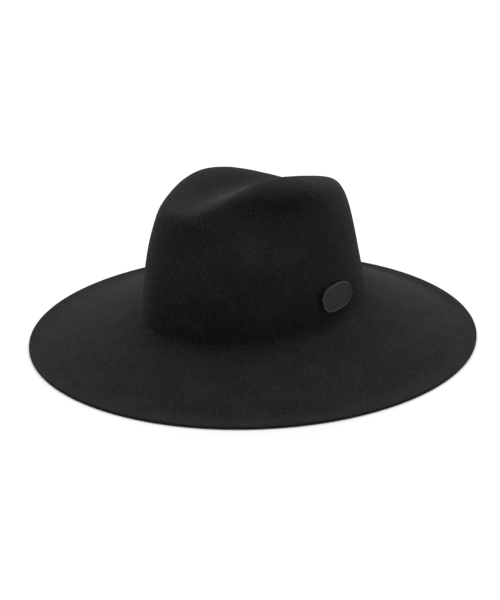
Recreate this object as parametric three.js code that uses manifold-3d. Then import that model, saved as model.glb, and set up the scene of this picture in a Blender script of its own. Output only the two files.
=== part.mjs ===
// A wide-brimmed fedora blocked from one piece of wool felt, with a small oval plate on its left side.
// Millimetres, +Z up. The front of the hat looks along -Y and the wearer's left side is +X.
// The origin is in the middle of the surface that the brim's edge lies on.

import * as THREE from 'three';
import Module from 'manifold-3d';

const wasm = await Module();
wasm.setup();

// Felt
const FELT_THICKNESS = 2.2;

// The break, the oval line where the crown turns out into the brim, measured on the outside
const BREAK_WIDTH = 172;
const BREAK_LENGTH = 204;
const BREAK_HEIGHT = 30;
const BREAK_TILT = 7.6;
const BREAK_RADIUS = 4;
const BREAK_TURN = 76;

// The brim, measured level from the break to its raw edge
const BRIM_SIDE = 95.6;
const BRIM_FRONT = 92.6;
const BRIM_BACK = 92.6;
const REST_BAND = 7;
const EASE_BAND = 14;

// The crown, with its centre crease and the two ridges beside it
const CROWN_DEPTH = 100;
const RIDGE_RISE = 19;
const RIDGE_SPREAD = 28;
const RIDGE_STEEPNESS = 1.45;

// The side pinches: how far the deeper one is pushed in, how many degrees below level it is pushed,
// and how far from its middle line it fades
const PINCH_DEPTH = 13.5;
const PINCH_SLANT = 50;
const PINCH_GIRTH = 22;

// The plate on the crown and the rivet that holds it
const PLATE_LENGTH = 35;
const PLATE_WIDTH = 21.5;
const PLATE_THICKNESS = 2;
const PLATE_SQUARENESS = 2.5;
const TIP_LENGTH = 2.2;
const TIP_SPREAD = 7;
const TIP_ANGLE = -16;
const PLATE_ANGLE = 94.4;
const PLATE_HEIGHT = 22;
const RIM_WIDTH = 1.3;
const RIM_HEIGHT = 0.5;
const MOTIF_COUNT = 7;
const MOTIF_RADIUS = 0.9;
const MOTIF_MARGIN = 3.9;
const RIVET_RADIUS = 1.5;
const RIVET_HEAD_RADIUS = 4.5;
const RIVET_HEAD_THICKNESS = 1;
const SOCKET_DEPTH = 1;
const BORE_OVERRUN = 4.5;
const CLEARANCE = 0.3;

// Rings of the crown from its top line to the break. Height is a share of the way up from the break,
// and side, front and back are shares of half the break's width and length.
const CROWN_RINGS = [
  { height: 1.0, side: 0.0, front: 0.52, back: 0.44 },
  { height: 0.998, side: 0.25, front: 0.71, back: 0.59 },
  { height: 0.984, side: 0.47, front: 0.82, back: 0.725 },
  { height: 0.952, side: 0.62, front: 0.868, back: 0.79 },
  { height: 0.89, side: 0.73, front: 0.893, back: 0.812 },
  { height: 0.81, side: 0.795, front: 0.908, back: 0.828 },
  { height: 0.71, side: 0.845, front: 0.925, back: 0.845 },
  { height: 0.58, side: 0.888, front: 0.95, back: 0.868 },
  { height: 0.42, side: 0.93, front: 0.97, back: 0.896 },
  { height: 0.24, side: 0.968, front: 0.983, back: 0.935 },
  { height: 0.08, side: 0.995, front: 0.998, back: 0.985 },
];

// Stations along the crown, as shares of half the break's length from its middle, front first.
// Floor is a share of the crown's depth, rise of the ridge's rise, and spread of the ridge's spread.
// Shift is how far the crease veers to the wearer's left, as a share of half the break's width.
// Lean is the slope at which the top rises to the wearer's left.
const TOP_LINE = [
  { along: -1.0, floor: 0.91, rise: 0.0, spread: 1.1, shift: -0.09, lean: 0.0 },
  { along: -0.85, floor: 0.935, rise: 0.05, spread: 1.1, shift: -0.09, lean: 0.0 },
  { along: -0.7, floor: 0.95, rise: 0.12, spread: 1.1, shift: -0.09, lean: 0.0 },
  { along: -0.5, floor: 0.968, rise: 0.26, spread: 1.1, shift: -0.09, lean: 0.0 },
  { along: -0.3, floor: 0.976, rise: 0.48, spread: 1.1, shift: -0.09, lean: 0.0 },
  { along: -0.1, floor: 0.972, rise: 0.64, spread: 1.05, shift: -0.11, lean: 0.01 },
  { along: 0.1, floor: 0.96, rise: 0.64, spread: 1.0, shift: -0.12, lean: 0.04 },
  { along: 0.3, floor: 0.93, rise: 0.59, spread: 1.0, shift: -0.14, lean: 0.07 },
  { along: 0.5, floor: 0.895, rise: 0.53, spread: 1.0, shift: -0.16, lean: 0.1 },
  { along: 0.7, floor: 0.87, rise: 0.44, spread: 1.0, shift: -0.18, lean: 0.1 },
  { along: 1.0, floor: 0.85, rise: 0.3, spread: 1.0, shift: -0.2, lean: 0.1 },
];

// The two pinches. Side is +1 for the wearer's left, and angle is from the front round to that side.
// Out is the middle's distance from the origin's upright line, as a share of half the break's width.
// Height, ahead and behind are shares of the crown's depth: the middle's height above the break, and
// how far the pinch reaches towards the front and the back. Depth is a share of the pinch's depth.
const PINCHES = [
  { side: 1, angle: 54, out: 0.885, height: 0.86, depth: 1.0, ahead: 0.8, behind: 0.6 },
  { side: -1, angle: 48, out: 0.88, height: 0.8, depth: 0.09, ahead: 0.35, behind: 0.35 },
];

// How finely the felt is divided: around the hat, between two rings, round the break, across the brim
const AROUND = 80;
const STEPS_PER_RING = 2;
const BREAK_STEPS = 3;
const BRIM_STEPS = 6;
const BRIM_STEP_BIAS = 1.2;
const ROUND_SEGMENTS = 24;

// Tries at finding the plate's height on the wall, and the small step that measures the wall's slope
const SEAT_TRIES = 40;
const SEAT_NUDGE = 0.01;

const rad = THREE.MathUtils.degToRad;

// A smooth curve through values at knots: a cubic in each gap, with the mean chord as its slope
function curveThrough(knots, values, at) {
  const last = knots.length - 1;
  const place = THREE.MathUtils.clamp(at, knots[0], knots[last]);
  let gap = 0;
  while (gap < last - 1 && place > knots[gap + 1]) gap += 1;
  const slope = (k) => {
    const before = Math.max(k - 1, 0);
    const after = Math.min(k + 1, last);
    return (values[after] - values[before]) / (knots[after] - knots[before]);
  };
  const span = knots[gap + 1] - knots[gap];
  const t = (place - knots[gap]) / span;
  const s = 1 - t;
  const ends = values[gap] * s * s * (1 + 2 * t) + values[gap + 1] * t * t * (1 + 2 * s);
  return ends + span * t * s * (slope(gap) * s - slope(gap + 1) * t);
}

const RING_STEPS = CROWN_RINGS.map((row, index) => index);
const STATIONS = TOP_LINE.map((row) => row.along);
const ringAt = (column, step) => curveThrough(RING_STEPS, CROWN_RINGS.map((row) => row[column]), step);
const topAt = (column, along) => curveThrough(STATIONS, TOP_LINE.map((row) => row[column]), along);

// Height of the break above the surface, lower at the front and higher at the back
function breakHeight(phi) {
  return BREAK_HEIGHT - BREAK_TILT * Math.cos(phi);
}

// Both pinches: a trough pushed in and down, which fades away from its middle line and along it
function pinched(point) {
  const level = Math.cos(rad(PINCH_SLANT));
  const down = Math.sin(rad(PINCH_SLANT));
  for (const pinch of PINCHES) {
    const side = pinch.side * Math.sin(rad(pinch.angle));
    const front = Math.cos(rad(pinch.angle));
    const out = point.x * side - point.y * front - (BREAK_WIDTH / 2) * pinch.out;
    const round = point.x * pinch.side * front + point.y * pinch.side * side;
    const up = point.z - BREAK_HEIGHT - CROWN_DEPTH * pinch.height;
    const reach = CROWN_DEPTH * (round < 0 ? pinch.ahead : pinch.behind);
    const fade = Math.exp(-((out ** 2 + up ** 2) / PINCH_GIRTH ** 2) - (round / reach) ** 2);
    const push = PINCH_DEPTH * pinch.depth * fade;
    point.x -= push * level * side;
    point.y += push * level * front;
    point.z -= push * down;
  }
  return point;
}

// A point of the crown's outside, on the ring at step and at angle phi from the front
function crownPoint(step, phi) {
  const end = Math.cos(phi) > 0 ? 'front' : 'back';
  const x = (BREAK_WIDTH / 2) * ringAt('side', step) * Math.sin(phi);
  const along = -ringAt(end, step) * Math.cos(phi);
  const spread = RIDGE_SPREAD * topAt('spread', along);
  const away = x - (BREAK_WIDTH / 2) * topAt('shift', along);
  const ridge = 1 - Math.exp(-((RIDGE_STEEPNESS * away / spread) ** 2));
  const floor = BREAK_HEIGHT + CROWN_DEPTH * topAt('floor', along);
  const top = floor + RIDGE_RISE * topAt('rise', along) * ridge + topAt('lean', along) * x;
  const foot = breakHeight(phi);
  const z = foot + (top - foot) * ringAt('height', step);
  return pinched(new THREE.Vector3(x, (BREAK_LENGTH / 2) * along, z));
}

// A point level with an oval that lies a share of the brim's width outside the break
function brimPoint(out, phi, z) {
  const end = Math.cos(phi) > 0 ? BRIM_FRONT : BRIM_BACK;
  const x = (BREAK_WIDTH / 2 + out * BRIM_SIDE) * Math.sin(phi);
  return new THREE.Vector3(x, -(BREAK_LENGTH / 2 + out * end) * Math.cos(phi), z);
}

// Fall of the brim's slope, from 1 at its top to 0 where it has eased level
function brimFall(share) {
  const ease = EASE_BAND / (BRIM_SIDE - REST_BAND);
  const straight = 1 - ease / 2;
  return share < 1 - ease ? 1 - share / straight : (1 - share) ** 2 / (2 * ease * straight);
}

// Rings of the outside, from the crown's top line to the brim's edge, each a function of phi
function feltRings() {
  const rings = [];
  const crownSteps = (CROWN_RINGS.length - 1) * STEPS_PER_RING;
  for (let i = 0; i <= crownSteps; i += 1) {
    rings.push((phi) => crownPoint(i / STEPS_PER_RING, phi));
  }
  for (let i = 1; i <= BREAK_STEPS; i += 1) {
    const turn = rad((BREAK_TURN * i) / BREAK_STEPS);
    const out = (BREAK_RADIUS * (1 - Math.cos(turn))) / BRIM_SIDE;
    rings.push((phi) => brimPoint(out, phi, breakHeight(phi) + BREAK_RADIUS * (1 - Math.sin(turn))));
  }
  const start = (BREAK_RADIUS * (1 - Math.cos(rad(BREAK_TURN)))) / BRIM_SIDE;
  const lift = BREAK_RADIUS * (1 - Math.sin(rad(BREAK_TURN)));
  const level = 1 - REST_BAND / BRIM_SIDE;
  for (let i = 1; i <= BRIM_STEPS; i += 1) {
    const share = 1 - (1 - i / BRIM_STEPS) ** BRIM_STEP_BIAS;
    const out = start + (level - start) * share;
    rings.push((phi) => {
      const slope = breakHeight(phi) + lift - FELT_THICKNESS;
      return brimPoint(out, phi, FELT_THICKNESS + slope * brimFall(share));
    });
  }
  rings.push((phi) => brimPoint(1, phi, FELT_THICKNESS));
  return rings;
}

// One closed wall of felt: the outside, an inside offset along the outside's normals, and the raw edge.
// The band at the edge lies flat on the surface, so its underside is level at height 0.
function feltSolid() {
  const rings = feltRings();
  const half = AROUND / 2;
  const first = half + 1;
  const at = (ring, j) => {
    const k = j % AROUND;
    return ring === 0 ? Math.min(k, AROUND - k) : first + (ring - 1) * AROUND + k;
  };
  const outside = [];
  rings.forEach((ring, i) => {
    const count = i === 0 ? first : AROUND;
    for (let j = 0; j < count; j += 1) outside.push(ring((2 * Math.PI * j) / AROUND));
  });
  const faces = [];
  for (let i = 0; i < rings.length - 1; i += 1) {
    for (let j = 0; j < AROUND; j += 1) {
      const [a, b, c, d] = [at(i, j), at(i + 1, j), at(i + 1, j + 1), at(i, j + 1)];
      faces.push(a, b, c, a, c, d);
    }
  }
  const skin = new THREE.BufferGeometry().setFromPoints(outside);
  skin.setIndex(faces);
  skin.computeVertexNormals();
  const normals = skin.getAttribute('normal');
  const restRing = at(rings.length - 2, 0);
  const inside = outside.map((point, index) => {
    if (index >= restRing) return new THREE.Vector3(point.x, point.y, 0);
    const normal = new THREE.Vector3().fromBufferAttribute(normals, index);
    return point.clone().addScaledVector(normal, -FELT_THICKNESS);
  });
  const inner = outside.length;
  const all = faces.slice();
  for (let f = 0; f < faces.length; f += 3) {
    all.push(faces[f] + inner, faces[f + 2] + inner, faces[f + 1] + inner);
  }
  for (let j = 0; j < AROUND; j += 1) {
    const [a, b] = [at(rings.length - 1, j), at(rings.length - 1, j + 1)];
    all.push(a, a + inner, b + inner, a, b + inner, b);
  }
  const points = outside.concat(inside);
  return toSolid(points.flatMap((point) => point.toArray()), all);
}

// A solid for joining and cutting, from positions and triangles that share their corners
function toSolid(positions, triangles) {
  const mesh = new wasm.Mesh({
    numProp: 3,
    vertProperties: Float32Array.from(positions),
    triVerts: Uint32Array.from(triangles),
  });
  return new wasm.Manifold(mesh);
}

// The same for a closed three.js geometry, whose corners are matched by their place
function geometrySolid(geometry) {
  const spots = geometry.getAttribute('position');
  const order = geometry.index ? Array.from(geometry.index.array) : [...Array(spots.count).keys()];
  const known = new Map();
  const positions = [];
  const corner = (index) => {
    const point = new THREE.Vector3().fromBufferAttribute(spots, index);
    const key = point.toArray().map((value) => Math.round(value * 1e4)).join(' ');
    if (!known.has(key)) {
      known.set(key, positions.length / 3);
      positions.push(...point.toArray());
    }
    return known.get(key);
  };
  const triangles = [];
  for (let f = 0; f < order.length; f += 3) {
    const [a, b, c] = [corner(order[f]), corner(order[f + 1]), corner(order[f + 2])];
    if (a !== b && b !== c && c !== a) triangles.push(a, b, c);
  }
  return toSolid(positions, triangles);
}

// A geometry with flat faces, from a joined or cut solid
function fromSolid(solid) {
  const mesh = solid.getMesh();
  const geometry = new THREE.BufferGeometry();
  geometry.setAttribute('position', new THREE.BufferAttribute(mesh.vertProperties, 3));
  geometry.setIndex(new THREE.BufferAttribute(mesh.triVerts, 1));
  geometry.computeVertexNormals();
  return geometry;
}

// Where the plate sits: a frame on the outside of the crown with x towards the back of the hat,
// y up the wall and z straight out of the felt
function plateFrame() {
  const phi = rad(PLATE_ANGLE);
  let [high, low] = [0, CROWN_RINGS.length - 1];
  for (let i = 0; i < SEAT_TRIES; i += 1) {
    const middle = (high + low) / 2;
    if (crownPoint(middle, phi).z > breakHeight(phi) + PLATE_HEIGHT) high = middle;
    else low = middle;
  }
  const seat = crownPoint(low, phi);
  const back = crownPoint(low, phi + SEAT_NUDGE).sub(crownPoint(low, phi - SEAT_NUDGE)).normalize();
  const up = crownPoint(low - SEAT_NUDGE, phi).sub(crownPoint(low + SEAT_NUDGE, phi));
  up.addScaledVector(back, -up.dot(back)).normalize();
  const out = new THREE.Vector3().crossVectors(back, up);
  return new THREE.Matrix4().makeBasis(back, up, out).setPosition(seat);
}

// Outline of the plate: a squarish oval with a small soft tip drawn out low at its back end
// and high at its front end
function plateOutline(inset) {
  const points = [];
  const count = 2 * ROUND_SEGMENTS;
  for (let i = 0; i < count; i += 1) {
    const angle = (360 * i) / count;
    const [c, s] = [Math.cos(rad(angle)), Math.sin(rad(angle))];
    const power = PLATE_SQUARENESS;
    const size = (Math.abs(c) ** power + Math.abs(s) ** power) ** (-1 / power);
    const off = ((angle - TIP_ANGLE + 90) % 180) - 90;
    const tip = TIP_LENGTH * Math.exp(-((off / TIP_SPREAD) ** 2));
    const x = (PLATE_LENGTH / 2 - inset) * size * c;
    const y = (PLATE_WIDTH / 2 - inset) * size * s;
    const stretch = 1 + tip / Math.hypot(x, y);
    points.push(new THREE.Vector2(x * stretch, y * stretch));
  }
  return points;
}

// A solid of the outline between two heights above the felt
function plateSlab(points, from, to) {
  const slab = new THREE.ExtrudeGeometry(new THREE.Shape(points), { depth: to - from, bevelEnabled: false });
  return geometrySolid(slab.translate(0, 0, from));
}

// A round bar along z between two heights
function bar(radius, from, to) {
  const round = new THREE.CylinderGeometry(radius, radius, to - from, ROUND_SEGMENTS);
  return geometrySolid(round.rotateX(Math.PI / 2).translate(0, 0, (from + to) / 2));
}

// The plate: a rigid oval with a raised rim, a row of small dots, and a blind socket for the rivet
function plateSolid() {
  const face = CLEARANCE + PLATE_THICKNESS;
  const body = plateSlab(plateOutline(0), CLEARANCE, face);
  const rim = plateSlab(plateOutline(0), face - RIM_HEIGHT, face + RIM_HEIGHT);
  const well = plateSlab(plateOutline(RIM_WIDTH), face - 2 * RIM_HEIGHT, face + 2 * RIM_HEIGHT);
  let plate = body.add(rim.subtract(well));
  const pitch = (PLATE_LENGTH - 2 * MOTIF_MARGIN) / (MOTIF_COUNT + 1);
  for (let i = 0; i < MOTIF_COUNT; i += 1) {
    const offset = (i - (MOTIF_COUNT - 1) / 2) * pitch;
    const dot = bar(MOTIF_RADIUS, face - RIM_HEIGHT, face + RIM_HEIGHT / 2);
    plate = plate.add(dot.translate([offset, 0, 0]));
  }
  return plate.subtract(bar(RIVET_RADIUS + CLEARANCE, 0, CLEARANCE + SOCKET_DEPTH));
}

// The rivet: a shaft through the felt into the plate's socket, with a flat head inside the crown
function rivetSolid() {
  const inside = -FELT_THICKNESS - CLEARANCE;
  const shaft = bar(RIVET_RADIUS, inside - RIVET_HEAD_THICKNESS / 2, SOCKET_DEPTH);
  return shaft.add(bar(RIVET_HEAD_RADIUS, inside - RIVET_HEAD_THICKNESS, inside));
}

// The hole in the felt that the rivet passes through
function rivetHole(frame) {
  const hole = bar(RIVET_RADIUS + CLEARANCE, -FELT_THICKNESS - BORE_OVERRUN, BORE_OVERRUN);
  return hole.transform(frame.toArray());
}

function named(name, solid, colour, roughness, metalness) {
  const material = new THREE.MeshStandardMaterial({ color: colour, roughness, metalness });
  const mesh = new THREE.Mesh(fromSolid(solid), material);
  mesh.name = name;
  return mesh;
}

const frame = plateFrame();
const badge = new THREE.Group();
badge.add(named('badge_plate', plateSolid(), 0x1d1c1b, 0.55, 0.2));
badge.add(named('badge_rivet', rivetSolid(), 0x2a2a2a, 0.4, 0.9));
badge.applyMatrix4(frame);

const fedora = new THREE.Group();
fedora.add(named('felt_body', feltSolid().subtract(rivetHole(frame)), 0x0d0d0d, 0.95, 0));
fedora.add(badge);

export default fedora;
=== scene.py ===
"""Looks of a wide-brimmed felt fedora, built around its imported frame.

Metres, +Z up. The front of the hat looks along -Y, the wearer's left side is +X, and the brim's edge
lies on the surface at height 0.
"""

import math

import bmesh
import bpy
import numpy as np
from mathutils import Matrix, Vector


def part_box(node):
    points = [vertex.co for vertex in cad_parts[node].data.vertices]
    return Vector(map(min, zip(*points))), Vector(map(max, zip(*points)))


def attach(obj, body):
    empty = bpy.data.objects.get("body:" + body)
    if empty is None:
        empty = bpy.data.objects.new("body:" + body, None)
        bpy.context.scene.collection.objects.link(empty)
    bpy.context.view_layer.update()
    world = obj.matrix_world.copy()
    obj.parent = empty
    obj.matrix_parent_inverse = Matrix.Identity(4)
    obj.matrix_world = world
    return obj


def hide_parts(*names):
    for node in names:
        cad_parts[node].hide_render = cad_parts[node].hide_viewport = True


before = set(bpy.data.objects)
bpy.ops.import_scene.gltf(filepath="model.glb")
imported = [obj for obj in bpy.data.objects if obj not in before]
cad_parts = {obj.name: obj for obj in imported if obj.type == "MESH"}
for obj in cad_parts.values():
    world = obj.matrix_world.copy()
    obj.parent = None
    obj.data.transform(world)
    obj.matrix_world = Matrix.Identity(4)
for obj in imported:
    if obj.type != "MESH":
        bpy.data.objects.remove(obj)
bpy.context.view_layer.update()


# Camera. It looks at the hat's front left corner from a little above, as in the photograph.
# The picture is 500 by 600, and PHOTO_ORIGIN is the pixel where the hat's origin falls.
VIEW_TURN = math.radians(45)
VIEW_RISE = math.radians(22.7)
VIEW_DISTANCE = 1.3
PHOTO_SIZE = (500, 600)
PHOTO_FOCAL = 1531
PHOTO_ORIGIN = (254.8, 330.8)
SENSOR_MM = 36


def add_camera():
    """A camera on a ray from the origin, aimed beside the origin by as much as PHOTO_ORIGIN lies from the
    picture's middle."""
    level = math.cos(VIEW_RISE)
    back = Vector((math.sin(VIEW_TURN) * level, -math.cos(VIEW_TURN) * level, math.sin(VIEW_RISE)))
    right = Vector((math.cos(VIEW_TURN), math.sin(VIEW_TURN), 0))
    up = back.cross(right)
    pixel = VIEW_DISTANCE / PHOTO_FOCAL
    aim = up * (PHOTO_ORIGIN[1] - PHOTO_SIZE[1] / 2) * pixel
    aim -= right * (PHOTO_ORIGIN[0] - PHOTO_SIZE[0] / 2) * pixel
    eye = back * VIEW_DISTANCE
    camera = bpy.data.objects.new("camera", bpy.data.cameras.new("camera"))
    camera.data.sensor_width = SENSOR_MM
    camera.data.lens = SENSOR_MM * PHOTO_FOCAL / max(PHOTO_SIZE)
    camera.location = eye
    camera.rotation_mode = "QUATERNION"
    camera.rotation_quaternion = (eye - aim).to_track_quat("Z", "Y")
    bpy.context.scene.collection.objects.link(camera)
    bpy.context.scene.camera = camera


add_camera()


# Felt body. Crown and brim are one piece of black wool felt, blocked over steam: the crown is creased
# down its middle and pinched on both sides by hand, and the brim is pressed to a shallow cone and cut
# raw. Its edge lies flat on the surface that the hat stands on.
FELT_THICKNESS = 0.0022
BREAK_WIDTH = 0.172
BREAK_LENGTH = 0.204
BREAK_HEIGHT = 0.030
BREAK_TILT = 0.0076
BREAK_RADIUS = 0.004
BREAK_TURN = math.radians(76)
REST_BAND = 0.007
EASE_BAND = 0.014
EDGE_ROUND = 0.0006
CROWN_DEPTH = 0.100
RIDGE_RISE = 0.019
RIDGE_SPREAD = 0.028
RIDGE_STEEPNESS = 1.45
PINCH_DEPTH = 0.0135
PINCH_SLANT = math.radians(50)
PINCH_GIRTH = 0.022
felt_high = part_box("felt_body")[1]
BRIM_SIDE = felt_high.x - BREAK_WIDTH / 2
BRIM_END = felt_high.y - BREAK_LENGTH / 2

# Rings of the crown from its top line to the break: height as a share of the way up from the break,
# side, front and back as shares of half the break's width and length
CROWN_RINGS = np.array(
    [
        (1.0, 0.0, 0.52, 0.44),
        (0.998, 0.25, 0.71, 0.59),
        (0.984, 0.47, 0.82, 0.725),
        (0.952, 0.62, 0.868, 0.79),
        (0.89, 0.73, 0.893, 0.812),
        (0.81, 0.795, 0.908, 0.828),
        (0.71, 0.845, 0.925, 0.845),
        (0.58, 0.888, 0.95, 0.868),
        (0.42, 0.93, 0.97, 0.896),
        (0.24, 0.968, 0.983, 0.935),
        (0.08, 0.995, 0.998, 0.985),
    ],
    dtype=[(name, float) for name in ("height", "side", "front", "back")],
)

# Stations along the crown, front first: along as a share of half the break's length, then the shares
# that the crease's floor, the ridges' rise and their spread have there. Shift is how far the crease
# veers to the wearer's left, as a share of half the break's width, and lean is the slope at which the
# top rises to that side.
TOP_LINE = np.array(
    [
        (-1.0, 0.91, 0.0, 1.1, -0.09, 0.0),
        (-0.85, 0.935, 0.05, 1.1, -0.09, 0.0),
        (-0.7, 0.95, 0.12, 1.1, -0.09, 0.0),
        (-0.5, 0.968, 0.26, 1.1, -0.09, 0.0),
        (-0.3, 0.976, 0.48, 1.1, -0.09, 0.0),
        (-0.1, 0.972, 0.64, 1.05, -0.11, 0.01),
        (0.1, 0.96, 0.64, 1.0, -0.12, 0.04),
        (0.3, 0.93, 0.59, 1.0, -0.14, 0.07),
        (0.5, 0.895, 0.53, 1.0, -0.16, 0.1),
        (0.7, 0.87, 0.44, 1.0, -0.18, 0.1),
        (1.0, 0.85, 0.3, 1.0, -0.2, 0.1),
    ],
    dtype=[(name, float) for name in ("along", "floor", "rise", "spread", "shift", "lean")],
)

# The two pinches: side is +1 for the wearer's left, angle in degrees from the front, out as a share of
# half the break's width, depth as a share of the deeper pinch's, and height, ahead and behind as shares
# of the crown's depth: the middle's height, and the reach towards the front and the back
PINCHES = np.array(
    [(1, 54, 0.885, 0.86, 1.0, 0.8, 0.6), (-1, 48, 0.88, 0.8, 0.09, 0.35, 0.35)],
    dtype=[(name, float) for name in ("side", "angle", "out", "height", "depth", "ahead", "behind")],
)


def smooth(knots, values, at):
    """Curve through values at knots: a cubic in each gap, whose slope at a knot is the chord between its
    two neighbours. Past the ends it holds the end value."""
    knots, values = np.asarray(knots, float), np.asarray(values, float)
    near = np.arange(len(knots))
    before, after = np.maximum(near - 1, 0), np.minimum(near + 1, len(knots) - 1)
    slopes = (values[after] - values[before]) / (knots[after] - knots[before])
    place = np.clip(at, knots[0], knots[-1])
    gap = np.clip(np.searchsorted(knots, place, side="left") - 1, 0, len(knots) - 2)
    span = knots[gap + 1] - knots[gap]
    t = (place - knots[gap]) / span
    s = 1 - t
    ends = values[gap] * s**2 * (1 + 2 * t) + values[gap + 1] * t**2 * (1 + 2 * s)
    return ends + span * t * s * (slopes[gap] * s - slopes[gap + 1] * t)


def break_height(phi):
    """Height of the break: a tilted oval, lowest at the front where phi is 0 and highest at the back."""
    return BREAK_HEIGHT - BREAK_TILT * np.cos(phi)


def crown(step, phi):
    """Outside of the crown. step counts rings down from the top line and phi turns from the front to the
    wearer's left. A ring is an oval whose half width and half length are the table's shares, its height
    is the table's share of the way from the break to the top, and the top is the crease's floor, plus a
    ridge that grows away from the crease as 1 - exp(-x squared), plus the lean times x. Last, each pinch
    pushes its side in and down by exp(-a squared - b squared - c squared), where a and b are the level
    and upright distances from its middle line over its girth, and c is the way past its middle over its
    reach."""
    step, phi = np.broadcast_arrays(step, phi)
    rings = np.arange(len(CROWN_RINGS))
    share = {name: smooth(rings, CROWN_RINGS[name], step) for name in CROWN_RINGS.dtype.names}
    x = BREAK_WIDTH / 2 * share["side"] * np.sin(phi)
    along = -np.where(np.cos(phi) > 0, share["front"], share["back"]) * np.cos(phi)
    line = {name: smooth(TOP_LINE["along"], TOP_LINE[name], along) for name in TOP_LINE.dtype.names}
    away = x - BREAK_WIDTH / 2 * line["shift"]
    ridge = 1 - np.exp(-((RIDGE_STEEPNESS * away / (RIDGE_SPREAD * line["spread"])) ** 2))
    top = BREAK_HEIGHT + CROWN_DEPTH * line["floor"] + RIDGE_RISE * line["rise"] * ridge + line["lean"] * x
    foot = break_height(phi)
    points = np.stack([x, BREAK_LENGTH / 2 * along, foot + (top - foot) * share["height"]], -1)
    for pinch in PINCHES:
        turn = math.radians(pinch["angle"])
        side, front = pinch["side"] * math.sin(turn), math.cos(turn)
        out = points[..., 0] * side - points[..., 1] * front - BREAK_WIDTH / 2 * pinch["out"]
        past = pinch["side"] * (points[..., 0] * front + points[..., 1] * side)
        up = points[..., 2] - BREAK_HEIGHT - CROWN_DEPTH * pinch["height"]
        reach = CROWN_DEPTH * np.where(past < 0, pinch["ahead"], pinch["behind"])
        fade = np.exp(-(out**2 + up**2) / PINCH_GIRTH**2 - (past / reach) ** 2)
        level = math.cos(PINCH_SLANT)
        push = np.array([-level * side, level * front, -math.sin(PINCH_SLANT)])
        points += PINCH_DEPTH * pinch["depth"] * fade[..., None] * push
    return points


def brim(out, phi, height):
    """A ring of the brim: an oval that lies out, a share of the brim's width, outside the break."""
    out, phi, height = np.broadcast_arrays(out, phi, height)
    x = (BREAK_WIDTH / 2 + out * BRIM_SIDE) * np.sin(phi)
    y = -(BREAK_LENGTH / 2 + out * BRIM_END) * np.cos(phi)
    return np.stack([x, y, height], -1)


def brim_fall(share):
    """Share of the brim's height left at a share of its slope: straight, then eased level by a parabola."""
    ease = EASE_BAND / (BRIM_SIDE - REST_BAND)
    straight = 1 - ease / 2
    eased = (1 - share) ** 2 / (2 * ease * straight)
    return np.where(share < 1 - ease, 1 - share / straight, eased)


def felt_outside(around, crown_rows, break_rows, brim_rows):
    """Outside of the whole hat as rings of points, from the crown's top line to where the edge rounds."""
    phi = np.linspace(0, 2 * np.pi, around, endpoint=False)[None]
    steps = np.linspace(0, len(CROWN_RINGS) - 1, crown_rows)[:, None]
    turn = np.linspace(0, BREAK_TURN, break_rows + 1)[1:, None]
    bend_out = BREAK_RADIUS * (1 - np.cos(turn)) / BRIM_SIDE
    bend = brim(bend_out, phi, break_height(phi) + BREAK_RADIUS * (1 - np.sin(turn)))
    share = np.linspace(0, 1, brim_rows + 1)[1:, None]
    level = 1 - REST_BAND / BRIM_SIDE
    top = break_height(phi) + BREAK_RADIUS * (1 - math.sin(BREAK_TURN)) - FELT_THICKNESS
    slope_out = bend_out[-1] + (level - bend_out[-1]) * share
    slope = brim(slope_out, phi, FELT_THICKNESS + top * brim_fall(share))
    rest = np.linspace(level, 1 - EDGE_ROUND / BRIM_SIDE, 5)[1:, None]
    flat = brim(rest, phi, FELT_THICKNESS + 0 * phi)
    return np.concatenate([crown(steps, phi), bend, slope, flat]), len(flat) + 1


def ring_normals(rings):
    """Unit normals of a grid of rings, from the cross product of its two central differences. The top
    line's own are the mean of the next ring's on both sides."""
    down = np.gradient(rings, axis=0)
    around = np.roll(rings, -1, axis=1) - np.roll(rings, 1, axis=1)
    normals = np.cross(down, around)
    mirrored = np.roll(normals[1][::-1], 1, axis=0)
    normals[0] = normals[1] + mirrored
    return normals / np.linalg.norm(normals, axis=-1, keepdims=True)


def felt_shell(around, crown_rows, break_rows, brim_rows, inner_skip):
    """The felt's whole closed skin as rings: the outside, the raw edge as two quarter rounds with a
    straight between, and the inside, which is the outside moved in along its normals by the thickness.
    Returns the rings and how near each is to the raw edge, from 0 to 1."""
    outside, flat_rows = felt_outside(around, crown_rows, break_rows, brim_rows)
    inside = outside - FELT_THICKNESS * ring_normals(outside)
    inside[-flat_rows:] = outside[-flat_rows:] * (1, 1, 0)
    inside[0] = (inside[0] + np.roll(inside[0][::-1], 1, axis=0)) / 2
    phi = np.linspace(0, 2 * np.pi, around, endpoint=False)[None]
    turn = np.radians(np.arange(15, 91, 15))
    drop = EDGE_ROUND * (1 - np.cos(turn))
    reach = 1 - EDGE_ROUND * (1 - np.sin(turn)) / BRIM_SIDE
    heights = np.concatenate([FELT_THICKNESS - drop, [FELT_THICKNESS / 2], drop[::-1]])
    outs = np.concatenate([reach, [1], reach[::-1]])
    edge = brim(outs[:, None], phi, heights[:, None])
    under = inside[::-1]
    sparse = np.arange(flat_rows, len(under) - 1, inner_skip)
    keep = np.concatenate([np.arange(flat_rows), sparse, [len(under) - 1]])
    rings = np.concatenate([outside, edge, under[keep]])
    cut = np.zeros(len(rings))
    cut[len(outside) : len(outside) + len(edge)] = 1
    return rings, cut


def ring_quads(index):
    """Quads between each ring of vertex numbers and the next, all the way round."""
    following = np.roll(index, -1, axis=1)
    return np.stack([index[:-1], index[1:], following[1:], following[:-1]], -1).reshape(-1, 4).tolist()


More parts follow.
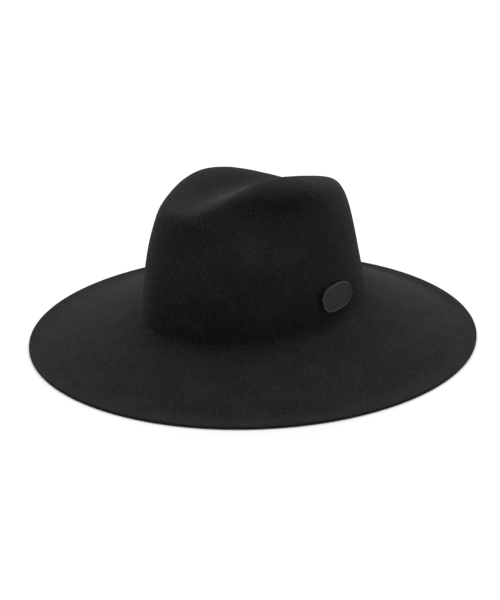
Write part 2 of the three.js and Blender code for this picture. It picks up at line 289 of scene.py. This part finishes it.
def rings_to_mesh(name, rings):
    """A closed mesh from rings whose first and last are lines: the two halves of such a ring run along
    the same points, so its point j and its point around - j are one vertex."""
    count, around = rings.shape[:2]
    j = np.arange(around)
    line = np.minimum(j, around - j)
    half = around // 2 + 1
    index = half + (np.arange(count)[:, None] - 1) * around + j
    index[0] = line
    index[-1] = half + (count - 2) * around + line
    points = np.concatenate([rings[0][:half], rings[1:-1].reshape(-1, 3), rings[-1][:half]])
    mesh = bpy.data.meshes.new(name)
    mesh.from_pydata(points.tolist(), [], ring_quads(index))
    mesh.shade_smooth()
    return mesh, index


def add_piece(name, mesh, finish):
    """An object of the mesh at the origin, with one material, that rides on the hat's only body."""
    piece = bpy.data.objects.new(name, mesh)
    piece.data.materials.append(finish)
    bpy.context.scene.collection.objects.link(piece)
    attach(piece, "root")
    return piece


class Level:
    """A number that varies over a surface: a socket of a finish, whose arithmetic adds Math nodes."""

    def __init__(self, finish, socket):
        self.finish = finish
        self.socket = socket

    def math(self, operation, *values):
        """What a Math node makes of the values."""
        node = self.finish.node("ShaderNodeMath", {"operation": operation}, dict(enumerate(values)))
        return Level(self.finish, node.outputs[0])

    def __add__(self, other):
        return self.math("ADD", self, other)

    def __radd__(self, other):
        return self.math("ADD", other, self)

    def __sub__(self, other):
        return self.math("SUBTRACT", self, other)

    def __rsub__(self, other):
        return self.math("SUBTRACT", other, self)

    def __mul__(self, other):
        return self.math("MULTIPLY", self, other)

    def __rmul__(self, other):
        return self.math("MULTIPLY", other, self)

    def between(self, low, high):
        """0 below low, 1 above high, and eased from one to the other."""
        settings = {"interpolation_type": "SMOOTHSTEP"}
        sockets = {"Value": self, "From Min": low, "From Max": high}
        node = self.finish.node("ShaderNodeMapRange", settings, sockets)
        return Level(self.finish, node.outputs["Result"])


class Finish:
    """One material, whose nodes are all made by node(). The constants are sockets of its shader."""

    MIX_FIRST = 6
    MIX_SECOND = 7
    MIX_RESULT = 2

    def __init__(self, name, **constants):
        self.material = bpy.data.materials.new(name)
        self.material.use_nodes = True
        self.tree = self.material.node_tree
        self.shader = self.tree.nodes["Principled BSDF"]
        for socket, value in constants.items():
            self.shader.inputs[socket.replace("_", " ").title()].default_value = value

    def node(self, kind, settings, sockets):
        """A node of a kind: its settings first, then the value or link of each socket."""
        node = self.tree.nodes.new(kind)
        for name, value in settings.items():
            setattr(node, name, value)
        for name, value in sockets.items():
            if isinstance(value, Level):
                value = value.socket
            if isinstance(value, bpy.types.NodeSocket):
                self.tree.links.new(value, node.inputs[name])
            else:
                node.inputs[name].default_value = value
        return node

    def place(self):
        """Object coordinates, in metres."""
        return self.node("ShaderNodeTexCoord", {}, {}).outputs["Object"]

    def noise(self, size, detail=2.0, roughness=0.5, stretch=(1, 1, 1)):
        """A cloudy number from 0 to 1 whose blotches are about size metres across."""
        sockets = {"Vector": self.place(), "Scale": [s / size for s in stretch]}
        scaled = self.node("ShaderNodeMapping", {}, sockets)
        sockets = {"Vector": scaled.outputs[0], "Scale": 1.0, "Detail": detail, "Roughness": roughness}
        return Level(self, self.node("ShaderNodeTexNoise", {}, sockets).outputs["Fac"])

    def attribute(self, name):
        """A number stored on the mesh's points."""
        return Level(self, self.node("ShaderNodeAttribute", {"attribute_name": name}, {}).outputs["Fac"])

    def blend(self, level, first, second):
        """A colour that goes from first to second as level goes from 0 to 1."""
        sockets = {"Factor": level, self.MIX_FIRST: first, self.MIX_SECOND: second}
        return self.node("ShaderNodeMix", {"data_type": "RGBA"}, sockets).outputs[self.MIX_RESULT]

    def feed(self, socket, value):
        """Leads a varying value to a socket of the shader."""
        self.tree.links.new(value.socket if isinstance(value, Level) else value, self.shader.inputs[socket])

    def relief(self, height, depth):
        """Bumps of the surface: height from 0 to 1 stands for depth metres."""
        bump = self.node("ShaderNodeBump", {}, {"Strength": 1.0, "Distance": depth, "Height": height})
        self.feed("Normal", bump.outputs["Normal"])


# Colours of the felt at its darkest and at its lightest, between which go its random tone and its painted
# light and shade, and of the cut edge
FELT_BLACK = (0.0064, 0.0063, 0.0065, 1)
FELT_LIGHT_AND_HIGHLIGHT = (0.033, 0.0326, 0.0324, 1)
FELT_CUT = (0.022, 0.0165, 0.014, 1)

# The nap's fibres, tufts and cloudy patches, and the painted light and shade: their widths, how much each
# shows, and how deep it is
FIBRE_WIDTH = 0.0011
TUFT_WIDTH = 0.0024
PATCH_WIDTH = 0.02
GRAIN_SHARE = 1.4
PATCH_SHARE = 0.14
PAINTED_LIGHT_SHARE = 0.42
PLAIN_TONE = 0.35
FIBRE_RELIEF = 0.6
TUFT_RELIEF = 0.7
NAP_DEPTH = 0.0006

# Where light and shade are painted on the felt's crown: a painted highlight on the left ridge's inner flank
# and on the lip below the deeper pinch, and painted shade below the ridge's top and at the crown's foot. A
# pair is where it starts to turn and where it is fully turned: away counts from the crease in spreads of
# the ridge, high in depths of the crown, and front and back in half lengths of the break
LIP = (0.037, -0.043, 0.104)
LIP_REACH = (0.020, 0.020, 0.009)
LIP_HIGHLIGHT_SHARE = 0.6
FLANK_PLACE = 0.4
FLANK_HALF_WIDTH = 0.24
HIGHLIGHT_HIGH = (0.875, 1)
HIGHLIGHT_FRONT = (-1, -0.8)
HIGHLIGHT_BACK = (0.45, 0.05)
SHADE_AWAY = (0.62, 0.906)
SHADE_HIGH = (0.889, 1)
SHADE_FRONT = (-0.95, -0.7)
SHADE_BACK = (0.45, -0.175)
FOOT_HIGH = (0.455, 0)
FOOT_SHADE_SHARE = 0.25


def ramp(value, start, end):
    """0 up to start, 1 from end on, and straight between."""
    return np.clip((value - start) / (end - start), 0, 1)


def painted_light_and_shade(points):
    """Painted light and shade on the felt, from 1 where a lighter highlight is painted to -1 where darker
    shade is painted. The highlight is painted in a band exp(-a squared) along the left ridge's inner flank,
    where a is the distance from it over its half width, and in a spot exp(-b squared) on the swell below
    the deeper pinch. Shade is painted on the ridge's outer side, from the ridge's top to the pinch, and a
    little at the foot of the crown, where the brim shades it."""
    along = points[..., 1] * 2 / BREAK_LENGTH
    shift, spread = (smooth(TOP_LINE["along"], TOP_LINE[name], along) for name in ("shift", "spread"))
    away = (points[..., 0] - BREAK_WIDTH / 2 * shift) / (RIDGE_SPREAD * spread)
    high = (points[..., 2] - BREAK_HEIGHT) / CROWN_DEPTH
    # Painted highlight: a lighter band along the left ridge's inner flank.
    raised = np.exp(-(((away - FLANK_PLACE) / FLANK_HALF_WIDTH) ** 2)) * ramp(high, *HIGHLIGHT_HIGH)
    raised *= ramp(along, *HIGHLIGHT_FRONT) * ramp(along, *HIGHLIGHT_BACK)
    # Painted shade: darker on the ridge's outer side below its top.
    painted_shade = ramp(away, *SHADE_AWAY) * ramp(high, *SHADE_HIGH)
    painted_shade *= ramp(along, *SHADE_FRONT) * ramp(along, *SHADE_BACK)
    # Painted highlight on the lip below the deeper pinch, and painted shade at the crown's foot, where the
    # brim shades it.
    lip = np.exp(-(((points - LIP) / LIP_REACH) ** 2).sum(-1))
    within = (points[..., 0] * 2 / BREAK_WIDTH) ** 2 + along**2 < 1
    foot = np.where(within, ramp(high, *FOOT_HIGH), 0)
    return raised + LIP_HIGHLIGHT_SHARE * lip - painted_shade - FOOT_SHADE_SHARE * foot


def wool_felt():
    """Pressed black wool: a matt nap whose tufts lie every way, so that each catches the light a little
    differently, cloudy in random patches, with painted highlights and painted shade on the crown, and a
    browner cut edge."""
    felt = Finish("wool_felt", roughness=0.95, sheen_weight=0.035, sheen_roughness=0.3)
    felt.shader.inputs["Specular IOR Level"].default_value = 0.06
    felt.shader.inputs["Sheen Tint"].default_value = (0.9, 0.9, 0.92, 1)
    fibres = felt.noise(FIBRE_WIDTH, detail=4, roughness=0.75)
    tufts = felt.noise(TUFT_WIDTH, detail=3, roughness=0.65, stretch=(1, 1.6, 1.3))
    patches = felt.noise(PATCH_WIDTH, detail=3, roughness=0.55).between(0.3, 0.7)
    grain = (tufts - 0.5) * GRAIN_SHARE + (fibres - 0.5) * GRAIN_SHARE
    # Painted light and shade from the mesh lightens and darkens the felt's colour.
    lie = felt.attribute("painted_light_and_shade") * PAINTED_LIGHT_SHARE
    surface = felt.blend(grain + patches * PATCH_SHARE + PLAIN_TONE + lie, FELT_BLACK, FELT_LIGHT_AND_HIGHLIGHT)
    felt.feed("Base Color", felt.blend(felt.attribute("cut_edge"), surface, FELT_CUT))
    felt.relief(tufts * TUFT_RELIEF + fibres * FIBRE_RELIEF, NAP_DEPTH)
    return felt.material


rings, cut_edge = felt_shell(around=320, crown_rows=121, break_rows=8, brim_rows=48, inner_skip=4)
felt_mesh, felt_index = rings_to_mesh("felt_hat", rings)
# Per point: nearness to the cut edge, and the painted light and shade of the crown.
for name, values in (("cut_edge", cut_edge[:, None]), ("painted_light_and_shade", painted_light_and_shade(rings))):
    per_point = np.zeros(len(felt_mesh.vertices), np.float32)
    per_point[felt_index] = values
    felt_mesh.attributes.new(name, "FLOAT", "POINT").data.foreach_set("value", per_point)
felt_hat = add_piece("felt_hat", felt_mesh, wool_felt())
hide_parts("felt_body")


# Plate. A small rigid oval with a raised smooth rim and a soft tip at each end, painted dark grey. It
# stands just off the felt on the wearer's left side, and carries a plain row of round studs.
PLATE_THICKNESS = 0.002
PLATE_LENGTH = 0.035
PLATE_WIDTH = 0.0215
PLATE_SQUARENESS = 2.8
PLATE_ANGLE = math.radians(94.4)
PLATE_HEIGHT = 0.022
PLATE_CORNER = 0.0003
TIP_LENGTH = 0.002
TIP_FADE = 0.0052
FRONT_TIP = 0.4
TIP_SPREAD = math.radians(7)
TIP_ANGLE = math.radians(-16)
RIM_WIDTH = 0.0013
RIM_HEIGHT = 0.0005
FACE_REACH = 0.9
STUD_COUNT = 7
STUD_PITCH = 0.0034
STUD_RADIUS = 0.0009
STUD_RISE = 0.0004
SEAT_GAP = 0.0003

# The paint's pebbles, its colours between and on them, and its colour where it is worn, which is full
# from WORN_RISE above the face
PEBBLE_WIDTH = 0.0009
PEBBLE_DEPTH = 0.0003
PAINT_LOW = (0.0055, 0.0050, 0.0045, 1)
PAINT_HIGH = (0.0125, 0.0115, 0.0105, 1)
PAINT_WORN = (0.042, 0.039, 0.036, 1)
WORN_RISE = RIM_HEIGHT / 1.5


def plate_frame():
    """Where the plate sits on the crown: the point of the wall at PLATE_HEIGHT above the break, with
    unit vectors towards the hat's back, up the wall, and out of the felt."""
    steps = np.linspace(3, len(CROWN_RINGS) - 1, 2000)
    wall = crown(steps, np.full(steps.shape, PLATE_ANGLE))
    step = np.interp(PLATE_HEIGHT + break_height(PLATE_ANGLE), wall[::-1, 2], steps[::-1])
    nudge = 0.01
    seat, ahead, behind, above, below = crown(
        np.array([step, step, step, step - nudge, step + nudge]),
        PLATE_ANGLE + np.array([0, nudge, -nudge, 0, 0]),
    )
    towards_back = (ahead - behind) / np.linalg.norm(ahead - behind)
    up = above - below
    up -= towards_back * (up @ towards_back)
    up /= np.linalg.norm(up)
    return seat, np.array([towards_back, up, np.cross(towards_back, up)])


seat, plate_axes = plate_frame()


def on_crown(points):
    """Points given along the plate's own axes, set in place on the crown."""
    return seat + points @ plate_axes


def plate_outline(angle, inset):
    """Outline of the plate: a squarish oval |x|^n + |y|^n = 1, drawn out by a narrow bell at each tip,
    which is shorter at the front one and gone at an inset of TIP_FADE."""
    c, s = np.cos(angle), np.sin(angle)
    size = (np.abs(c) ** PLATE_SQUARENESS + np.abs(s) ** PLATE_SQUARENESS) ** (-1 / PLATE_SQUARENESS)
    off = (angle - TIP_ANGLE + np.pi / 2) % np.pi - np.pi / 2
    tip = TIP_LENGTH * np.where(c > 0, 1, FRONT_TIP) * np.exp(-((off / TIP_SPREAD) ** 2))
    x = (PLATE_LENGTH / 2 - inset) * size * c
    y = (PLATE_WIDTH / 2 - inset) * size * s
    stretch = 1 + tip * (1 - inset / TIP_FADE).clip(0) / np.hypot(x, y)
    return x * stretch, y * stretch


def lidded_mesh(name, rings):
    """A closed mesh from rings whose first and last shrink to a point: quads between the rings, and a
    fan of triangles at each end."""
    count, around = rings.shape[:2]
    index = np.arange(count * around).reshape(count, around)
    first, last = count * around, count * around + 1
    start = np.stack([np.full(around, first), index[0], np.roll(index[0], -1)], -1)
    end = np.stack([np.full(around, last), np.roll(index[-1], -1), index[-1]], -1)
    points = np.concatenate([rings.reshape(-1, 3), rings[0].mean(0)[None], rings[-1].mean(0)[None]])
    mesh = bpy.data.meshes.new(name)
    mesh.from_pydata(points.tolist(), [], ring_quads(index) + start.tolist() + end.tolist())
    mesh.shade_smooth()
    return mesh


def plate_rings(around):
    """The plate's skin as rings from the middle of its back, round its rounded side, over the rim and
    down into the well, to the middle of its face. Each ring is the outline at one inset and height, and
    the innermost has an inset of FACE_REACH half widths."""
    low, face = SEAT_GAP, SEAT_GAP + PLATE_THICKNESS
    high = face + RIM_HEIGHT
    c = PLATE_CORNER
    turn = np.radians([0, 30, 60, 90])
    far = PLATE_WIDTH / 2 * FACE_REACH
    profile = [(far, low), (far / 2, low)]
    profile += [(c * (1 - math.sin(t)), low + c * (1 - math.cos(t))) for t in turn]
    profile += [(c * (1 - math.cos(t)), high - c * (1 - math.sin(t))) for t in turn]
    profile += [(RIM_WIDTH - c * (1 - math.sin(t)), high - c * (1 - math.cos(t))) for t in turn]
    profile += [(RIM_WIDTH + c * (1 - math.cos(t)) / 2, face + c * (1 - math.sin(t)) / 2) for t in turn]
    profile += [(inset, face) for inset in np.linspace(RIM_WIDTH + c, far, 8)[1:]]
    angle = np.linspace(0, 2 * np.pi, around, endpoint=False)
    rings = []
    for inset, height in profile:
        x, y = plate_outline(angle, np.asarray(inset))
        rings.append(np.stack([x, y, np.full(around, height)], -1))
    return np.array(rings)


def studs():
    """A row of low round studs, each a dome whose height falls as a circle's does."""
    around = np.linspace(0, 2 * np.pi, 20, endpoint=False)
    rise = np.radians([-20, 0, 20, 40, 60, 80])[:, None]
    dome = np.stack(
        [
            STUD_RADIUS * np.cos(rise) * np.cos(around),
            STUD_RADIUS * np.cos(rise) * np.sin(around),
            STUD_RISE * np.sin(rise) + 0 * around,
        ],
        -1,
    )
    for i in range(STUD_COUNT):
        middle = ((i - (STUD_COUNT - 1) / 2) * STUD_PITCH, 0, SEAT_GAP + PLATE_THICKNESS)
        yield dome + middle


def dark_paint():
    """Dark grey paint over cast metal: finely pebbled, and worn lighter on the rim and the studs."""
    paint = Finish("plate_paint")
    paint.shader.inputs["Specular IOR Level"].default_value = 0.3
    pebbles = paint.noise(PEBBLE_WIDTH, detail=3, roughness=0.6)
    face = paint.blend(pebbles.between(0.35, 0.65), PAINT_LOW, PAINT_HIGH)
    paint.feed("Base Color", paint.blend(paint.attribute("raised"), face, PAINT_WORN))
    paint.feed("Roughness", pebbles * 0.2 + 0.42)
    paint.relief(pebbles, PEBBLE_DEPTH)
    return paint.material


def joined(name, meshes):
    """One mesh from several."""
    whole = bmesh.new()
    for mesh in meshes:
        whole.from_mesh(mesh)
    mesh = bpy.data.meshes.new(name)
    whole.to_mesh(mesh)
    whole.free()
    return mesh


plate_meshes = [lidded_mesh("plate_body", on_crown(plate_rings(240)))]
plate_meshes += [lidded_mesh("stud", on_crown(stud)) for stud in studs()]
plate_mesh = joined("plate", plate_meshes)
places = np.empty(3 * len(plate_mesh.vertices))
plate_mesh.vertices.foreach_get("co", places)
raised = ramp((places.reshape(-1, 3) - seat) @ plate_axes[2] - SEAT_GAP - PLATE_THICKNESS, 0, WORN_RISE)
plate_mesh.attributes.new("raised", "FLOAT", "POINT").data.foreach_set("value", raised.astype(np.float32))
plate = add_piece("plate", plate_mesh, dark_paint())
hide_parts("badge_plate")


# Rivet. One plain steel rivet holds the plate: its shaft goes through the felt into the back of the
# plate, and its flat head bears on the inside of the crown, where only a head would meet it.
RIVET_RADIUS = 0.0015
RIVET_HEAD_RADIUS = 0.0045
RIVET_HEAD_THICKNESS = 0.001
RIVET_HEAD_ROUND = 0.00045
RIVET_HEAD_BEVEL = 0.0001
RIVET_TIP_BEVEL = 0.0002
SOCKET_DEPTH = 0.001
STEEL_GRAIN = 0.0004
STEEL_RELIEF = 0.00003
STEEL_DARK = (0.14, 0.14, 0.145, 1)
STEEL_BRIGHT = (0.22, 0.22, 0.22, 1)


def rivet_rings(around):
    """The rivet as a turned profile of radius and height, from the middle of its head to its tip. The
    head's outer edge is a quarter round, and its inner edge and the tip are bevelled."""
    under = -FELT_THICKNESS - SEAT_GAP
    low = under - RIVET_HEAD_THICKNESS
    turn = np.radians([0, 22.5, 45, 67.5, 90])
    c = RIVET_HEAD_ROUND
    profile = [(RIVET_HEAD_RADIUS / 3, low)]
    profile += [(RIVET_HEAD_RADIUS - c * (1 - math.sin(t)), low + c * (1 - math.cos(t))) for t in turn]
    profile += [(RIVET_HEAD_RADIUS, under - RIVET_HEAD_BEVEL)]
    profile += [(RIVET_HEAD_RADIUS - RIVET_HEAD_BEVEL, under)]
    profile += [(RIVET_RADIUS, under), (RIVET_RADIUS, SOCKET_DEPTH - RIVET_TIP_BEVEL)]
    profile += [(RIVET_RADIUS - RIVET_TIP_BEVEL, SOCKET_DEPTH), (RIVET_RADIUS / 3, SOCKET_DEPTH)]
    angle = np.linspace(0, 2 * np.pi, around, endpoint=False)
    radius, height = np.array(profile).T
    x, y = radius[:, None] * np.cos(angle), radius[:, None] * np.sin(angle)
    return np.stack([x, y, height[:, None] + 0 * angle], -1)


def dark_steel():
    """Plain dark steel with a fine grain."""
    steel = Finish("rivet_steel", metallic=1.0, roughness=0.35)
    grain = steel.noise(STEEL_GRAIN, detail=2)
    steel.feed("Base Color", steel.blend(grain, STEEL_DARK, STEEL_BRIGHT))
    steel.relief(grain, STEEL_RELIEF)
    return steel.material


rivet = add_piece("rivet", lidded_mesh("rivet", on_crown(rivet_rings(48))), dark_steel())
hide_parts("badge_rivet")


# Stitches. A single line of fine black thread is sewn through the felt round the break. It shows as
# short raised stitches that lie on the rounded bend between the crown and the brim.
STITCH_PITCH = 0.006
STITCH_LENGTH = 0.004
STITCH_RADIUS = 0.00024
STITCH_TURN = math.radians(30)
TWIST_WIDTH = 0.0003
TWIST_DEPTH = 0.00005
THREAD_BLACK = (0.008, 0.008, 0.008, 1)
THREAD_GREY = (0.022, 0.022, 0.022, 1)


def tubes(name, spine, thick, up, side, corners):
    """A mesh of many closed tubes. Each line of spine is the middle of one. At each of its points lie
    corners, all at that point's radius from thick, at even angles in the plane of the unit vectors up
    and side. Each end is one flat face."""
    turn = np.linspace(0, 2 * np.pi, corners, endpoint=False)[:, None]
    ring = np.cos(turn) * up[:, :, None] + np.sin(turn) * side[:, :, None]
    points = spine[:, :, None] + thick[:, None, None] * ring
    index = np.arange(points.size // 3).reshape(points.shape[:3])
    following = np.roll(index, -1, axis=2)
    quads = np.stack([index[:, :-1], following[:, :-1], following[:, 1:], index[:, 1:]], -1).reshape(-1, 4)
    caps = np.concatenate([index[:, 0, ::-1], index[:, -1]])
    mesh = bpy.data.meshes.new(name)
    mesh.from_pydata(points.reshape(-1, 3).tolist(), [], quads.tolist() + caps.tolist())
    return mesh


def stitch_line():
    """Every stitch as a small capsule: centre line along the break, radius falling off at both ends as
    the root of one less the square of the way along, lying on the fillet at STITCH_TURN."""
    fine = np.linspace(0, 2 * np.pi, 4000)
    out = BREAK_RADIUS * (1 - math.cos(STITCH_TURN)) / BRIM_SIDE
    line = brim(out, fine, break_height(fine) + BREAK_RADIUS * (1 - math.sin(STITCH_TURN)))
    length = np.concatenate([[0], np.cumsum(np.linalg.norm(np.diff(line, axis=0), axis=1))])
    count = int(length[-1] / STITCH_PITCH)
    middle = np.arange(count)[:, None] * length[-1] / count
    way = np.linspace(-0.98, 0.98, 7)
    at = (middle + way * STITCH_LENGTH / 2) % length[-1]
    spine = np.stack([np.interp(at, length, line[:, k]) for k in range(3)], -1)
    phi = np.interp(at, length, fine)
    outward = np.stack([np.sin(phi), -np.cos(phi), 0 * phi], -1) * math.cos(STITCH_TURN)
    outward[..., 2] = math.sin(STITCH_TURN)
    along = np.gradient(spine, axis=1)
    along /= np.linalg.norm(along, axis=-1, keepdims=True)
    side = np.cross(along, outward)
    mesh = tubes("stitches", spine, STITCH_RADIUS * np.sqrt(1 - way**2), outward, side, corners=6)
    mesh.shade_smooth()
    return mesh


def black_thread():
    """Black polyester thread, a little shinier than the felt and finely flecked by its twist."""
    thread = Finish("black_thread", roughness=0.8)
    twist = thread.noise(TWIST_WIDTH, detail=1)
    thread.feed("Base Color", thread.blend(twist, THREAD_BLACK, THREAD_GREY))
    thread.relief(twist, TWIST_DEPTH)
    return thread.material


stitches = add_piece("stitches", stitch_line(), black_thread())


# Lint. A few short pale fibres and specks of dust cling to the nap, as on any black felt. They lie
# loose on the outside of the crown and the brim, and each is bent a little.
LINT_COUNT = 130
LINT_LENGTH = 0.0016
LINT_LENGTH_RANGE = (0.25, 1.3)
LINT_RADIUS = 0.000045
LINT_BEND = 0.5
LINT_ARCH = 0.12
LINT_SEED = 7
FIBRE_SHADE_WIDTH = 0.05
FIBRE_GREY = (0.06, 0.06, 0.06, 1)
FIBRE_PALE = (0.22, 0.21, 0.2, 1)


def lint():
    """Fibres as thin four-sided tubes along a bent line: they start on the felt, run a random way across
    it, and stand off by a shallow arch. Places are random points of the outside's rings."""
    random = np.random.default_rng(LINT_SEED)
    outside, _ = felt_outside(720, 240, 4, 200)
    normals = ring_normals(outside)
    weight = np.linalg.norm(np.cross(np.gradient(outside, axis=0), np.gradient(outside, axis=1)), axis=-1)
    spot = random.choice(weight.size, LINT_COUNT, p=(weight / weight.sum()).ravel())
    start = outside.reshape(-1, 3)[spot]
    normal = normals.reshape(-1, 3)[spot]
    run = np.cross(normal, random.normal(size=(LINT_COUNT, 3)))
    run /= np.linalg.norm(run, axis=1, keepdims=True)
    side = np.cross(normal, run)
    length = LINT_LENGTH * random.uniform(*LINT_LENGTH_RANGE, (LINT_COUNT, 1, 1)) ** 1.5
    bend = random.uniform(-LINT_BEND, LINT_BEND, (LINT_COUNT, 1, 1))
    way = np.linspace(0, 1, 6)[None, :, None]
    spine = start[:, None] + length * way * run[:, None] + length * bend * way**2 * side[:, None]
    spine += normal[:, None] * (LINT_RADIUS + LINT_ARCH * length * way * (1 - way))
    thick = np.full(way.size, LINT_RADIUS)
    return tubes("lint", spine, thick, normal[:, None], side[:, None], corners=4)


def pale_fibre():
    """Undyed fibre and dust, pale grey."""
    fibre = Finish("pale_fibre", roughness=0.8)
    shade = fibre.noise(FIBRE_SHADE_WIDTH).between(0.35, 0.65)
    fibre.feed("Base Color", fibre.blend(shade, FIBRE_GREY, FIBRE_PALE))
    return fibre.material


lint_fibres = add_piece("lint", lint(), pale_fibre())


# Studio. A wide white sheet lies under the hat, lit almost evenly from above by a very large soft light,
# with a weaker even light from all round.
SHEET_HALF = 6.0
SHEET_DROP = 0.0002
SHEET_WHITE = (0.9, 0.9, 0.9, 1)
TOP_LIGHT = 3.7
TOP_LIGHT_SPREAD = math.radians(90)
TOP_LIGHT_LEAN = (math.radians(-26), math.radians(-26), 0)
ROUND_LIGHT = 0.29


def add_studio():
    """The white sheet, just under the brim's edge, the soft light above it and the even light all round."""
    mesh = bpy.data.meshes.new("floor")
    corners = SHEET_HALF * np.array([(-1, -1, 0), (1, -1, 0), (1, 1, 0), (-1, 1, 0)])
    mesh.from_pydata((corners - (0, 0, SHEET_DROP)).tolist(), [], [(0, 1, 2, 3)])
    paper = Finish("paper", roughness=0.9)
    paper.shader.inputs["Base Color"].default_value = SHEET_WHITE
    paper.shader.inputs["Specular IOR Level"].default_value = 0.1
    mesh.materials.append(paper.material)
    floor = bpy.data.objects.new("floor", mesh)
    bpy.context.scene.collection.objects.link(floor)
    sun = bpy.data.lights.new("top_light", "SUN")
    sun.energy = TOP_LIGHT
    sun.angle = TOP_LIGHT_SPREAD
    lamp = bpy.data.objects.new("top_light", sun)
    lamp.rotation_euler = TOP_LIGHT_LEAN
    bpy.context.scene.collection.objects.link(lamp)
    world = bpy.data.worlds.new("studio")
    world.use_nodes = True
    world.node_tree.nodes["Background"].inputs["Color"].default_value = (1, 1, 1, 1)
    world.node_tree.nodes["Background"].inputs["Strength"].default_value = ROUND_LIGHT
    bpy.context.scene.world = world
    bpy.context.scene.view_settings.view_transform = "Standard"


add_studio()
